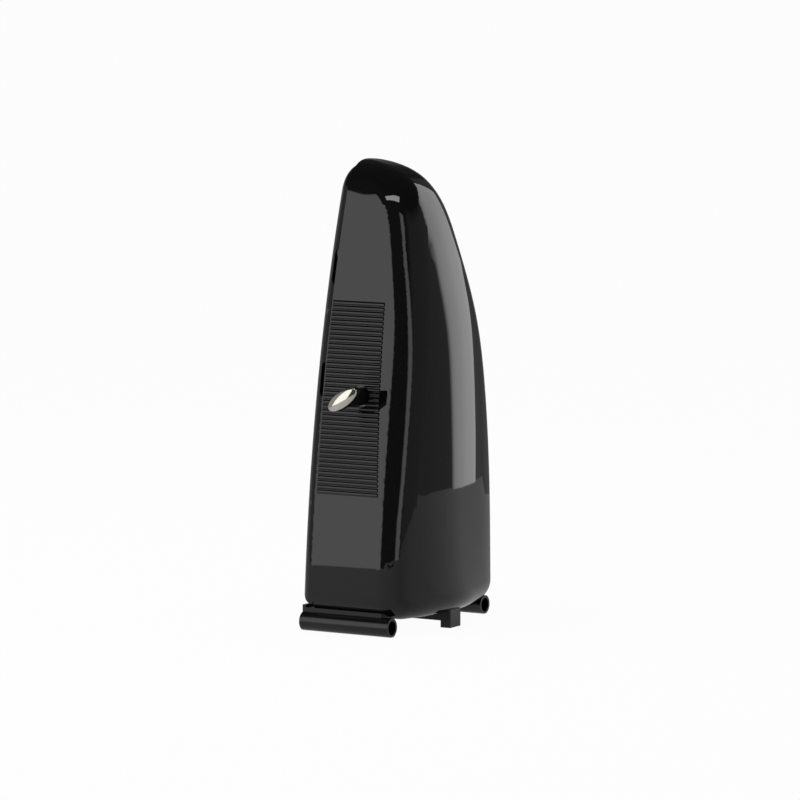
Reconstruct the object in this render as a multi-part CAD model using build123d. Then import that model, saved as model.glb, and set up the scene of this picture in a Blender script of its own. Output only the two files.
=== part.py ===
"""Small wind-up pendulum metronome with its front cover on.

Millimetres. Z is up, the floor is z = 0, the front looks along -Y and the winding key is on +X.
The origin is the middle of the footprint, on the floor, between the two tube feet.
"""
from build123d import *
from math import atan2, cos, degrees, hypot, radians, sin, tau
import os

# Case: front outline, side profile and walls
CASE_TOP = 160.0
CASE_BOTTOM = 5.0
CASE_HALF_FOOT = 33.7
CASE_HALF_MID = 28.1
CASE_MID_Z = CASE_TOP / 2
CASE_HALF_HEAD = 11.2
CASE_CROWN_DROP = 3.0
CROWN_CORNER_R = 12.0
BACK_FOOT_Y = 27.8
# Rear profile above the foot: Y, and the share of the case's height
BACK_CURVE = [
    (27.65, 0.226),
    (26.7, 0.484),
    (24.6, 0.645),
    (18.9, 0.819),
    (13.8, 0.916),
    (8.0, 0.961),
    (0.5, 0.986),
    (-20.0, 1.006),
]
BACK_BULGE_R = 71.0
REAR_CORNER_R = 11.0
BOTTOM_EDGE_R = 8.0
WALL = 1.8
SEAM_FOOT_Y = -13.35
SEAM_HEAD_Y = -11.0

# Underside: pocket for the base plate, tube feet and rear peg
POCKET_CEILING = 7.9
POCKET_REAR_Y = 13.8
POCKET_SLOPE = 3.6
TUBE_R = 3.3
TUBE_BORE_R = 2.45
TUBE_LENGTH = 35.0
TUBE_X = 31.8
TUBE_FLAT = 0.12
SADDLE_REACH = 0.8
BASE_HALF_WIDTH = 28.4
BASE_FRONT_Y = -17.6
LIP_DEPTH = 1.2
LIP_RISE = 0.9
PEG_WIDTH = 7.5
PEG_DEPTH = 4.0
PEG_REAR_Y = 24.0
PEG_ARM_DEPTH = 2.6
BASE_SCREW_X = 20.0
BASE_SCREW_Y = (-6.0, 10.0)
BASE_BOSS_RISE = 4.0

# Ribbed grip on both sides
RIB_LOW_Z = 48.0
RIB_HIGH_Z = 112.1
RIB_PITCH = 1.6
RIB_R = 0.85
RIB_SINK = 0.44
RIB_FRONT_LAND = 0.5
RIB_REAR_LOW_Y = 11.7
RIB_REAR_HIGH_Y = 9.0

# Front cover
COVER_INSET = 0.5
COVER_BOTTOM = 9.2
COVER_DROP = 1.3
COVER_DEPTH_FOOT = 6.85
COVER_DEPTH_HEAD = 4.8
COVER_BULGE_R = 300.0
COVER_EDGE_R = 5.0
COVER_WALL = 1.5
NOTCH_Z = (86.0, 124.0)
NOTCH_LENGTH = 12.0
NOTCH_DEPTH = 2.0
NOTCH_CORNER = 1.8
NIB_BELOW_TOP = 5.0
NIB_R = 1.6
NIB_REACH = 1.6
LUG_Z = (40.0, 105.0)
LUG_LENGTH = 4.5
LUG_REACH = 1.0
LUG_ROOT = 2.3

# Front plate, its scale and screws
PLATE_FRONT_Y = -10.0
PLATE_THICKNESS = 1.4
PLATE_LOW_Z = 26.0
SCALE_THICKNESS = 0.4
SCALE_HALF_WIDTH = 10.0
SCALE_LOW_Z = 68.0
SCALE_HIGH_Z = 131.0
POST_R = 2.5
POST_LOW = (24.0, 32.0)
POST_HIGH = (12.5, 122.0)
SCREW_R = 1.1
SCREW_HEAD_R = 2.1
SCREW_LENGTH = 7.0
CROSS_LENGTH = 2.6
CROSS_WIDTH = 0.55

# Movement frame
FRAME_HALF = 14.0
FRAME_SHEET = 1.2
FRAME_LOW_Z = 47.0
FRAME_HIGH_Z = 98.0
FRAME_REAR_Y = 16.0
FLANGE_REACH = 6.5
FLANGE_SCREW_EDGE = 7.0
PILLAR_R = 1.8
PILLAR_EDGE = 3.4
BRIDGE_HALF_HEIGHT = 6.0
PILLAR_SCREW_R = 0.9
PILLAR_TAP = 4.0
PILLAR_SLOT = 0.4

# Train: key arbor, intermediate arbor and escape arbor, all along X
KEY_Y = 2.7
KEY_Z = 81.0
TRAIN_LEAN = 9.5
ESCAPE_LEAN = -4.3
GREAT_MODULE = 0.5
GREAT_TEETH = 40
GREAT_PINION = 8
SECOND_MODULE = 0.4
SECOND_TEETH = 48
ESCAPE_PINION = 8
TOOTH_TIP = 0.9
TOOTH_ROOT = 1.2
TOOTH_TIP_SHARE = 0.1
TOOTH_ROOT_SHARE = 0.31
WHEEL_SHEET = 1.6
HUB_STEP = 0.8
GREAT_X = 2.6
SECOND_END_GAP = 2.0
SECOND_HUB_R = 2.2
SECOND_RIM = 1.6
SECOND_HOLES = 5
WINDING_R = 1.6
SPRING_CORE_R = 3.0
ARBOR_R = 1.0
ESCAPE_ARBOR_R = 0.9
BUSH_WALL = 1.0
COCK_HALF_WIDTH = 5.5
COCK_DROP = 7.0
COCK_RISE = 2.4
COCK_LEG_R = 1.2

# Ratchet and click
RATCHET_TEETH = 24
RATCHET_TIP_R = 5.5
RATCHET_DEPTH = 0.8
RATCHET_SHEET = 1.2
CLICK_PIVOT = (5.6, 5.6)
CLICK_BACK = 6.4
CLICK_NECK = 1.5
CLICK_PIN = (7.9, -1.0)
CLICK_PUSH = 3.6
CLICK_STUD_R = 0.8
CLICK_HEAD_R = 1.35
CLICK_EYE_R = 1.6
CLICK_TURN = 200.0
CLICK_LEAF = 0.3

# Mainspring
SPRING_TURNS = 6
SPRING_PITCH = 1.07
SPRING_THICKNESS = 0.4
SPRING_WIDTH = 8.5
SPRING_X = -11.0

# Escape wheel and pendulum arbor
ESCAPE_TEETH = 15
ESCAPE_R = 6.1
ESCAPE_RIM = 0.9
ESCAPE_HOLES = 4
ESCAPE_TIP_X = 1.8
ESCAPE_TOOTH = 2.4
ESCAPE_MOUTH_SHARE = 0.9
ESCAPE_ROOT_SHARE = 0.22
VERGE_R = 0.9
PALLET_REACH = 2.85
PALLET_ANGLE = 50.0
PALLET_THICKNESS = 0.6
PALLET_WIDTH = 1.4
PALLET_COLLAR_R = 1.5

# Pendulum
ROD_R = 0.8
ROD_Y = -12.3
ROD_TOP_Z = 134.0
ROD_HUB_R = 3.0
ROD_HUB_LIP = 0.5
COUNTERWEIGHT_R = 9.0
COUNTERWEIGHT_Z = 28.0
COUNTERWEIGHT_DEPTH = 4.6
WEIGHT_Z = 96.0
WEIGHT_HEIGHT = 11.0
WEIGHT_TOP_WIDTH = 9.0
WEIGHT_FOOT_WIDTH = 7.0
WEIGHT_DEPTH = 3.2
WEIGHT_SLOT_SHARE = 0.7
WEIGHT_SPRING_WIDTH = 2.8
WEIGHT_SPRING_SHEET = 0.3

# Winding key
KEY_HUB_R = 3.0
KEY_SEAT_R = 3.8
KEY_REACH = 13.3
KEY_WING_DEPTH = 3.0
KEY_CAP_HEIGHT = 1.2
KEY_LONG_R = 6.5
KEY_SHORT_R = 2.7
KEY_ROLL = 34.0

# Clearances, how far a cut or raw form passes the face it ends at, and a length past everything
SEAT = 0.15
RUNNING = 0.05
BUSH_RUNNING = 0.04
GAP = 0.3
MARGIN = 5.0
FAR = 90.0


def rod_x(y, z, x0, x1, radius):
    """Round bar along X."""
    return extrude(Plane.YZ.offset(x0) * Pos(y, z) * Circle(radius), x1 - x0)


def rod_y(x, z, y0, y1, radius):
    """Round bar along Y."""
    return extrude(Plane.XZ.offset(-y1) * Pos(x, z) * Circle(radius), y1 - y0)


def block(x0, x1, y0, y1, z0, z1):
    """Box between two corners."""
    return Pos((x0 + x1) / 2, (y0 + y1) / 2, (z0 + z1) / 2) * Box(x1 - x0, y1 - y0, z1 - z0)


def sheet_x(face, x0, x1):
    """Extrude a face drawn in the YZ plane from x0 to x1."""
    return extrude(Plane.YZ.offset(x0) * face, x1 - x0)


def both_sides(shape):
    """The shape and its mirror image across the middle plane."""
    return [shape, mirror(shape, Plane.YZ)]


def seam_y(z):
    """Where the cover meets the case, at height z."""
    share = (z - CASE_BOTTOM) / (CASE_TOP - CASE_BOTTOM)
    return SEAM_FOOT_Y + share * (SEAM_HEAD_Y - SEAM_FOOT_Y)


def side_centre():
    """Centre and radius of the arc that each side of the front outline follows."""
    (x1, z1), (x2, z2), (x3, z3) = side_points()
    a = x1 * x1 + z1 * z1
    b = x2 * x2 + z2 * z2
    c = x3 * x3 + z3 * z3
    d = 2 * (x1 * (z2 - z3) + x2 * (z3 - z1) + x3 * (z1 - z2))
    x = (a * (z2 - z3) + b * (z3 - z1) + c * (z1 - z2)) / d
    z = (a * (x3 - x2) + b * (x1 - x3) + c * (x2 - x1)) / d
    return x, z, hypot(x1 - x, z1 - z)


def side_points(inset=0):
    """Foot, middle and head of the right side, as seen from the front, moved in by the inset."""
    foot = (CASE_HALF_FOOT - inset, CASE_BOTTOM)
    mid = (CASE_HALF_MID - inset, CASE_MID_Z)
    head = (CASE_HALF_HEAD - inset, CASE_TOP - CASE_CROWN_DROP - inset)
    return foot, mid, head


def half_width(z):
    """Half the width of the case at height z."""
    x, centre_z, radius = side_centre()
    return x + (radius**2 - (z - centre_z) ** 2) ** 0.5


def arch_face(inset):
    """Front outline of the case, drawn in XZ and moved in by the inset."""
    foot, mid, head = side_points(inset)
    edges = [
        Line((-foot[0], foot[1]), foot),
        ThreePointArc(foot, mid, head),
        ThreePointArc(head, (0, CASE_TOP - inset), (-head[0], head[1])),
        ThreePointArc((-head[0], head[1]), (-mid[0], mid[1]), (-foot[0], foot[1])),
    ]
    face = make_face(edges)
    crown = face.vertices().filter_by(lambda v: v.Y > mid[1])
    return fillet(crown, CROWN_CORNER_R - inset)


def slab_y(face, y0, y1):
    """Extrude a face drawn in XZ from y0 to y1."""
    return extrude(Plane.XZ.offset(-y1) * face, y1 - y0)


def back_curve(inset):
    """Rear profile of the case from foot to crown, as Y and Z, moved in by the inset."""
    height = CASE_TOP - CASE_BOTTOM
    points = [(BACK_FOOT_Y, CASE_BOTTOM)]
    points += [(y, CASE_BOTTOM + share * height) for y, share in BACK_CURVE]
    moved = [(BACK_FOOT_Y - inset, CASE_BOTTOM)]
    for k in range(1, len(points)):
        y, z = points[k]
        before, after = points[k - 1], points[min(k + 1, len(points) - 1)]
        run, rise = after[0] - before[0], after[1] - before[1]
        length = hypot(run, rise)
        moved.append((y - inset * rise / length, z + inset * run / length))
    return moved


def case_form(inset):
    """Outer form of the case, or its hollow when moved in by the wall."""
    front, rear = SEAM_FOOT_Y - MARGIN, BACK_FOOT_Y + MARGIN
    arch = slab_y(arch_face(inset), front, rear)
    axis_y = BACK_FOOT_Y - BACK_BULGE_R
    curve = back_curve(inset)
    frame = Polyline(curve[-1], (axis_y, curve[-1][1]), (axis_y, CASE_BOTTOM), curve[0])
    profile = make_face([Spline(*curve), frame])
    turned = revolve(Plane.YZ * profile, Axis((0, axis_y, 0), (0, 0, 1)))
    form = arch & turned
    curved = form.edges().filter_by(lambda e: e.geom_type != GeomType.LINE)
    above_foot = curved.filter_by(lambda e: e.center().Z > CASE_BOTTOM + MARGIN)
    rear_edges = above_foot.filter_by(lambda e: e.center().Y > front + SEAT)
    return fillet(rear_edges, REAR_CORNER_R - inset)


def outer_case():
    """Solid outer form of the case, with its lower edge rounded."""
    form = case_form(0)
    foot_edges = form.edges().filter_by(
        lambda e: e.center().Z < CASE_BOTTOM + SEAT and e.center().Y > SEAM_FOOT_Y
    )
    return fillet(foot_edges, BOTTOM_EDGE_R)


def behind_seam():
    """Everything behind the leaning plane where the cover meets the case."""
    low, high = -FAR, CASE_TOP + FAR
    corners = [(seam_y(low), low), (FAR, low), (FAR, high), (seam_y(high), high)]
    return extrude(Plane.YZ * make_face(Polyline(*corners, close=True)), FAR, both=True)


def housing(outer):
    """Moulded case: open at the front, with screw posts inside and ribbed grips on both sides."""
    floor_top = POCKET_CEILING + WALL
    hollow = case_form(WALL) & block(-FAR, FAR, -FAR, FAR, floor_top, CASE_TOP)
    posts = []
    for x, z in post_places():
        posts.append(rod_y(x, z, PLATE_FRONT_Y + PLATE_THICKNESS, BACK_FOOT_Y, POST_R) & outer)
    bosses = []
    for x, y in base_screw_places():
        bosses.append(Pos(x, y, floor_top + BASE_BOSS_RISE / 2) * Cylinder(POST_R, BASE_BOSS_RISE))
    shell = (outer & behind_seam()) - hollow
    shell = shell + posts + bosses + ribs()
    cuts = [base_pocket(), key_seat()]
    for x, z in post_places():
        cuts.append(rod_y(x, z, PLATE_FRONT_Y, PLATE_FRONT_Y + SCREW_LENGTH, SCREW_R))
    for x, y in base_screw_places():
        cuts.append(Pos(x, y, POCKET_CEILING + SCREW_LENGTH / 2 - GAP) * Cylinder(SCREW_R, SCREW_LENGTH))
    return shell - cuts


def post_places():
    """Front plate screws, as X and Z."""
    return [(s * x, z) for x, z in (POST_LOW, POST_HIGH) for s in (1, -1)]


def base_screw_places():
    """Base plate screws, as X and Y."""
    return [(s * BASE_SCREW_X, y) for y in BASE_SCREW_Y for s in (1, -1)]


def ribs():
    """Low round-backed bars along both sides, close enough to touch at their feet."""
    count = int((RIB_HIGH_Z - RIB_LOW_Z) / RIB_PITCH)
    bars = []
    for k in range(count + 1):
        z = RIB_LOW_Z + k * RIB_PITCH
        share = (z - RIB_LOW_Z) / (RIB_HIGH_Z - RIB_LOW_Z)
        rear = RIB_REAR_LOW_Y + share * (RIB_REAR_HIGH_Y - RIB_REAR_LOW_Y)
        bar = rod_y(half_width(z) - RIB_SINK, z, seam_y(z) + RIB_FRONT_LAND, rear, RIB_R)
        bars += both_sides(bar)
    return bars


def key_seat():
    """Round flat in the ribs under the key, with the hole for the arbor."""
    face_x = key_face_x()
    seat = rod_x(KEY_Y, KEY_Z, face_x, face_x + MARGIN, KEY_SEAT_R)
    return seat + rod_x(KEY_Y, KEY_Z, face_x - MARGIN, face_x, WINDING_R + GAP)


def key_face_x():
    """Where the flat under the key lies: just under the case's surface at the seat's upper edge."""
    return half_width(KEY_Z + KEY_SEAT_R) - SEAT


def base_pocket():
    """Step under the case that takes the base plate and the tube feet, sloping down at the rear."""
    depth = POCKET_CEILING - CASE_BOTTOM
    slope_end = POCKET_REAR_Y + POCKET_SLOPE * (1 + FAR / depth)
    corners = [(-FAR, CASE_BOTTOM - FAR), (slope_end, CASE_BOTTOM - FAR), (POCKET_REAR_Y, POCKET_CEILING)]
    corners.append((-FAR, POCKET_CEILING))
    return extrude(Plane.YZ * make_face(Polyline(*corners, close=True)), FAR, both=True)


def front_cover():
    """Lift-off front cover: a bulged shell with rounded edges, notches and a pull nib."""
    shell = cover_form(0) - cover_form(COVER_WALL)
    shell = shell - behind_seam()
    nib_z = CASE_TOP - COVER_DROP - NIB_BELOW_TOP
    nib_y = seam_y(nib_z) - COVER_DEPTH_HEAD
    nib = rod_y(0, nib_z, nib_y - NIB_REACH, nib_y + COVER_WALL / 2, NIB_R)
    nib = fillet(nib.edges().group_by(Axis.Y)[0], NIB_R / 2)
    lugs = []
    for z in LUG_Z:
        outer = half_width(z + LUG_LENGTH) - WALL - 2 * GAP
        y = seam_y(z)
        tab = block(outer - COVER_WALL, outer, y - LUG_ROOT, y + LUG_REACH, z, z + LUG_LENGTH)
        root = block(outer - COVER_WALL, outer + COVER_WALL, y - LUG_ROOT, y - GAP, z, z + LUG_LENGTH)
        lugs += both_sides(tab + root)
    shell = shell + [nib] + lugs
    notches = []
    for z in NOTCH_Z:
        bay = Pos(seam_y(z), z) * RectangleRounded(2 * NOTCH_DEPTH, NOTCH_LENGTH, NOTCH_CORNER)
        side_x = half_width(z)
        notches += both_sides(sheet_x(bay, side_x - 2 * COVER_WALL, side_x + 2 * COVER_WALL))
    return shell - notches


def cover_form(inset):
    """Solid form of the cover, or its hollow when moved in by the wall."""
    rear = SEAM_HEAD_Y + MARGIN
    front = SEAM_FOOT_Y - COVER_DEPTH_FOOT - MARGIN
    arch = Pos(0, 0, COVER_INSET - COVER_DROP) * slab_y(arch_face(COVER_INSET + inset), front, rear)
    arch = arch & block(-FAR, FAR, front, rear, COVER_BOTTOM + inset, CASE_TOP)
    axis_y = seam_y(CASE_BOTTOM) - COVER_DEPTH_FOOT + COVER_BULGE_R
    low = (seam_y(CASE_BOTTOM) - COVER_DEPTH_FOOT + inset, CASE_BOTTOM)
    high = (seam_y(CASE_TOP) - COVER_DEPTH_HEAD + inset, CASE_TOP)
    profile = make_face(Polyline(low, high, (axis_y, CASE_TOP), (axis_y, CASE_BOTTOM), close=True))
    turned = revolve(Plane.YZ * profile, Axis((0, axis_y, 0), (0, 0, 1)))
    form = arch & turned
    curved = form.edges().filter_by(lambda e: e.geom_type != GeomType.LINE)
    front_edges = curved.filter_by(lambda e: e.center().Y < SEAM_FOOT_Y)
    return fillet(front_edges, COVER_EDGE_R - inset)


def base_plate(outer_case):
    """Plate under the case: saddles for the tube feet, front lip and rear peg on its arm."""
    rear = POCKET_REAR_Y - SEAT
    plate = block(-BASE_HALF_WIDTH, BASE_HALF_WIDTH, BASE_FRONT_Y, rear, CASE_BOTTOM, POCKET_CEILING)
    reach = TUBE_X + SADDLE_REACH
    saddle = block(BASE_HALF_WIDTH - WALL, reach, BASE_FRONT_Y, rear, tube_z(), POCKET_CEILING)
    lip_top = POCKET_CEILING + LIP_RISE
    lip = block(-reach, reach, BASE_FRONT_Y, BASE_FRONT_Y + LIP_DEPTH, CASE_BOTTOM, lip_top)
    arm_low = CASE_BOTTOM - PEG_ARM_DEPTH
    half = PEG_WIDTH / 2
    arm = block(-half, half, 0, PEG_REAR_Y - PEG_DEPTH / 2, arm_low, CASE_BOTTOM)
    peg = block(-half, half, PEG_REAR_Y - PEG_DEPTH, PEG_REAR_Y, 0, POCKET_CEILING)
    peg = fillet(peg.edges().filter_by(Axis.Z), PEG_DEPTH / 8)
    body = plate + both_sides(saddle) + [lip, arm, peg - outer_case]
    cuts = []
    for side in (1, -1):
        x = side * TUBE_X
        cuts.append(rod_y(x, tube_z(), BASE_FRONT_Y - MARGIN, rear + MARGIN, TUBE_R + RUNNING))
    for x, y in base_screw_places():
        cuts.append(Pos(x, y, CASE_BOTTOM) * countersink(POCKET_CEILING - CASE_BOTTOM))
    return body - cuts


def tube_z():
    """Height of the tube feet's axes, with their undersides pressed a little flat."""
    return TUBE_R - TUBE_FLAT


def foot_tube(side):
    """Hollow rubber tube foot along Y, worn flat underneath."""
    half = TUBE_LENGTH / 2
    x, z = side * TUBE_X, tube_z()
    tube = rod_y(x, z, -half, half, TUBE_R) - rod_y(x, z, -half, half, TUBE_BORE_R)
    return tube & block(-FAR, FAR, -FAR, FAR, 0, 2 * TUBE_R)


def countersink(depth):
    """Screw hole with a countersunk mouth at z = 0, opening downwards."""
    hole = Pos(0, 0, depth / 2) * Cylinder(SCREW_R + RUNNING, depth)
    cone_height = SCREW_HEAD_R - SCREW_R
    cone = Pos(0, 0, cone_height / 2) * Cone(SCREW_HEAD_R + RUNNING, SCREW_R + RUNNING, cone_height)
    return hole + cone


def countersunk_screw(length):
    """Countersunk screw with its head at z = 0, pointing up, with a cross slot."""
    cone_height = SCREW_HEAD_R - SCREW_R
    head = Pos(0, 0, cone_height / 2) * Cone(SCREW_HEAD_R, SCREW_R, cone_height)
    shank = Pos(0, 0, length / 2) * Cylinder(SCREW_R - RUNNING, length)
    depth = SCREW_R / 2
    cross = Box(CROSS_LENGTH, CROSS_WIDTH, depth) + Box(CROSS_WIDTH, CROSS_LENGTH, depth)
    return head + shank - cross


def front_screw(x, z, y, length):
    """Countersunk screw that enters the front plate along +Y."""
    return Pos(x, y, z) * Rot(-90, 0, 0) * countersunk_screw(length)


def front_plate():
    """Moulded plate behind the pendulum, with the movement on it and an open sound slot below it."""
    rear = PLATE_FRONT_Y + PLATE_THICKNESS
    face = arch_face(WALL + SEAT)
    plate = slab_y(face, PLATE_FRONT_Y, rear)
    plate = plate & block(-FAR, FAR, -FAR, FAR, PLATE_LOW_Z, CASE_TOP)
    cuts = [rod_y(0, escape_centre()[1], PLATE_FRONT_Y, rear, VERGE_R + BUSH_WALL)]
    for x, z in post_places() + flange_screw_places():
        cuts.append(Pos(x, PLATE_FRONT_Y, z) * Rot(-90, 0, 0) * countersink(PLATE_THICKNESS))
    return plate - cuts


def scale_plate():
    """Thin printed scale fixed to the front plate behind the rod."""
    low, high = SCALE_LOW_Z, SCALE_HIGH_Z
    middle = Pos(0, (low + high) / 2)
    face = middle * RectangleRounded(2 * SCALE_HALF_WIDTH, high - low, SCALE_HALF_WIDTH / 3)
    return slab_y(face, PLATE_FRONT_Y - SCALE_THICKNESS, PLATE_FRONT_Y)


def flange_screw_places():
    """Screws through the front plate into the frame's flanges, as X and Z."""
    x = FRAME_HALF + FLANGE_REACH / 2
    rows = (FRAME_LOW_Z + FLANGE_SCREW_EDGE, FRAME_HIGH_Z - FLANGE_SCREW_EDGE)
    return [(s * x, z) for z in rows for s in (1, -1)]


def polar(centre, radius, angle):
    """Point at a distance and an angle, in degrees, from a centre."""
    return centre[0] + radius * cos(radians(angle)), centre[1] + radius * sin(radians(angle))


def key_centre():
    """Axis of the winding arbor, as Y and Z."""
    return KEY_Y, KEY_Z


def intermediate_centre():
    """Axis of the intermediate arbor, where its pinion meets the great wheel."""
    spacing = GREAT_MODULE * (GREAT_TEETH + GREAT_PINION) / 2
    return polar(key_centre(), spacing, TRAIN_LEAN - 90)


def escape_centre():
    """Axis of the escape arbor. The pendulum arbor crosses it at the same height."""
    spacing = SECOND_MODULE * (SECOND_TEETH + ESCAPE_PINION) / 2
    return polar(intermediate_centre(), spacing, ESCAPE_LEAN - 90)


def gear_face(module, teeth, phase):
    """Flat gear with straight-sided teeth, one of them centred on the phase angle."""
    pitch = 360 / teeth
    pitch_r = module * teeth / 2
    tip_r = pitch_r + TOOTH_TIP * module
    root_r = pitch_r - TOOTH_ROOT * module
    tip, root = TOOTH_TIP_SHARE * pitch, TOOTH_ROOT_SHARE * pitch
    points = []
    for k in range(teeth):
        middle = phase + k * pitch
        for turn, radius in ((-root, root_r), (-tip, tip_r), (tip, tip_r), (root, root_r)):
            points.append(polar((0, 0), radius, middle + turn))
    return make_face(Polyline(*points, close=True))


def lightening_holes(inner_r, outer_r, count):
    """Ring of round holes between a hub and a rim."""
    middle = (inner_r + outer_r) / 2
    radius = (outer_r - inner_r) / 2
    return [Pos(*polar((0, 0), middle, k * 360 / count)) * Circle(radius) for k in range(count)]


def great_wheel():
    """Driving wheel that runs loose on the winding arbor."""
    centre = key_centre()
    face = gear_face(GREAT_MODULE, GREAT_TEETH, TRAIN_LEAN - 90) - Circle(WINDING_R + RUNNING)
    wheel = sheet_x(Pos(*centre) * face, GREAT_X, GREAT_X + WHEEL_SHEET)
    hub_face = Pos(*centre) * (Circle(SPRING_CORE_R) - Circle(WINDING_R + RUNNING))
    hub = sheet_x(hub_face, GREAT_X - HUB_STEP, GREAT_X)
    stud = rod_x(*click_pivot(), GREAT_X, GREAT_X + WHEEL_SHEET, CLICK_STUD_R)
    foot = rod_x(*click_spring_foot(), GREAT_X, GREAT_X + WHEEL_SHEET, CLICK_STUD_R)
    return wheel + hub - stud - foot


def click_point(u, v):
    """Point in the ratchet's own plane, turned to where the click sits on the great wheel."""
    return polar(key_centre(), hypot(u, v), degrees(atan2(v, u)) + CLICK_TURN)


def click_pivot():
    """Axis of the click's stud."""
    return click_point(*CLICK_PIVOT)


def click_spring_foot():
    """Axis of the pin that holds the click spring."""
    return click_point(*CLICK_PIN)


def ratchet_x():
    """Inner face of the ratchet wheel, clear of the great wheel."""
    return GREAT_X + WHEEL_SHEET + GAP


def ratchet_wheel():
    """Saw-toothed wheel fixed to the winding arbor."""
    pitch = 360 / RATCHET_TEETH
    points = []
    for k in range(RATCHET_TEETH):
        points.append(polar((0, 0), RATCHET_TIP_R, CLICK_TURN + k * pitch))
        points.append(polar((0, 0), RATCHET_TIP_R - RATCHET_DEPTH, CLICK_TURN + k * pitch))
    face = make_face(Polyline(*points, close=True)) - Circle(WINDING_R)
    hub = Circle(SPRING_CORE_R) - Circle(WINDING_R)
    x = ratchet_x()
    wheel = sheet_x(Pos(*key_centre()) * face, x, x + RATCHET_SHEET)
    return wheel + sheet_x(Pos(*key_centre()) * hub, x + RATCHET_SHEET, x + RATCHET_SHEET + HUB_STEP)


def click():
    """Pawl on the great wheel, with its nose in a gap of the ratchet."""
    pivot_u, pivot_v = CLICK_PIVOT
    corners = [
        (RATCHET_TIP_R - RATCHET_DEPTH + SEAT, SEAT),
        (RATCHET_TIP_R + GAP, SEAT),
        (CLICK_BACK, CLICK_NECK),
        (CLICK_BACK, pivot_v),
        (pivot_u - CLICK_STUD_R, pivot_v),
        (RATCHET_TIP_R + SEAT, CLICK_NECK),
    ]
    face = make_face(Polyline(*[click_point(u, v) for u, v in corners], close=True))
    pivot = Pos(*click_pivot())
    face = face + pivot * Circle(CLICK_EYE_R) - pivot * Circle(CLICK_STUD_R + RUNNING)
    return sheet_x(face, ratchet_x(), ratchet_x() + RATCHET_SHEET)


def click_stud():
    """Shouldered stud that the click turns on, riveted into the great wheel."""
    pivot = click_pivot()
    top = ratchet_x() + RATCHET_SHEET + RUNNING
    head = rod_x(*pivot, top, top + CLICK_STUD_R, CLICK_HEAD_R)
    return rod_x(*pivot, GREAT_X, top, CLICK_STUD_R) + head


def click_spring():
    """Leaf on a pin in the great wheel that presses the click into the ratchet."""
    pin_u, pin_v = CLICK_PIN
    x0, x1 = ratchet_x(), ratchet_x() + RATCHET_SHEET
    pin = rod_x(*click_spring_foot(), GREAT_X, x1, CLICK_STUD_R)
    tip_u = CLICK_BACK + GAP
    corners = [(tip_u, CLICK_PUSH), (tip_u + CLICK_LEAF, CLICK_PUSH)]
    corners += [(pin_u + CLICK_LEAF, pin_v), (pin_u, pin_v)]
    face = make_face(Polyline(*[click_point(u, v) for u, v in corners], close=True))
    return pin + sheet_x(face, x0, x1)


def winding_arbor():
    """Arbor from the left frame plate out to the key, with the core that the spring winds on."""
    centre = key_centre()
    end = key_face_x() + GAP + KEY_REACH / 2
    core_end = GREAT_X - HUB_STEP - RUNNING
    arbor = rod_x(*centre, -FRAME_HALF - FRAME_SHEET, end, WINDING_R)
    return arbor + rod_x(*centre, -FRAME_HALF + GAP, core_end, SPRING_CORE_R)


def mainspring():
    """Flat spiral spring round the arbor's core, its outer end hooked round a frame pillar."""
    centre = key_centre()
    pillar = pillar_places()[1]
    start_r = SPRING_CORE_R + GAP + SPRING_THICKNESS / 2
    edges = []
    x = start_r
    for k in range(2 * SPRING_TURNS):
        radius = start_r + k * SPRING_PITCH / 2
        side = (-1) ** k
        end = x - side * 2 * radius
        edges.append(ThreePointArc((x, 0), ((x + end) / 2, side * radius), (end, 0)))
        x = end
    hook_r = PILLAR_R + RUNNING + SPRING_THICKNESS / 2
    distance = hypot(pillar[0] - centre[0], pillar[1] - centre[1])
    reach = x + hook_r
    rise = (distance**2 - reach**2) ** 0.5
    edges.append(Line((x, 0), (x, rise)))
    edges.append(ThreePointArc((x, rise), (reach, rise + hook_r), (reach + hook_r, rise)))
    print(f"mainspring: least gap of the coil to itself {coil_gap(edges):.2f} mm")
    turn = degrees(atan2(pillar[1] - centre[1], pillar[0] - centre[0]) - atan2(rise, reach))
    path = Plane.YZ.offset(SPRING_X) * Pos(*centre) * Rot(0, 0, turn) * Wire(edges)
    section = Plane(path @ 0, x_dir=(1, 0, 0), z_dir=path % 0) * Pos(SPRING_WIDTH / 2, 0)
    return sweep(section * Rectangle(SPRING_WIDTH, SPRING_THICKNESS), path)


def coil_gap(edges):
    """Least clear distance between parts of the spring's path that don't follow on directly."""
    gaps = []
    for k, edge in enumerate(edges):
        gaps += [edge.distance_to(other) for other in edges[k + 2 :]]
    return min(gaps) - SPRING_THICKNESS


def second_x():
    """Inner face of the second wheel, set from the right frame plate."""
    return FRAME_HALF - SECOND_END_GAP - WHEEL_SHEET


def intermediate_arbor():
    """Arbor with the pinion that the great wheel drives."""
    centre = intermediate_centre()
    phase = TRAIN_LEAN + 90 + 180 / GREAT_PINION
    pinion = Pos(*centre) * gear_face(GREAT_MODULE, GREAT_PINION, phase)
    leaves = sheet_x(pinion, GREAT_X - HUB_STEP, GREAT_X + WHEEL_SHEET + HUB_STEP)
    return rod_x(*centre, -FRAME_HALF - FRAME_SHEET, FRAME_HALF + FRAME_SHEET, ARBOR_R) + leaves


def intermediate_wheel():
    """Second wheel, fixed to the intermediate arbor."""
    centre = intermediate_centre()
    pitch_r = SECOND_MODULE * SECOND_TEETH / 2
    face = gear_face(SECOND_MODULE, SECOND_TEETH, ESCAPE_LEAN - 90) - Circle(ARBOR_R)
    face = face - lightening_holes(SECOND_HUB_R + HUB_STEP, pitch_r - SECOND_RIM, SECOND_HOLES)
    hub = Circle(SECOND_HUB_R) - Circle(ARBOR_R)
    x = second_x()
    wheel = sheet_x(Pos(*centre) * face, x, x + WHEEL_SHEET)
    return wheel + sheet_x(Pos(*centre) * hub, x - HUB_STEP, x)


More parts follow.
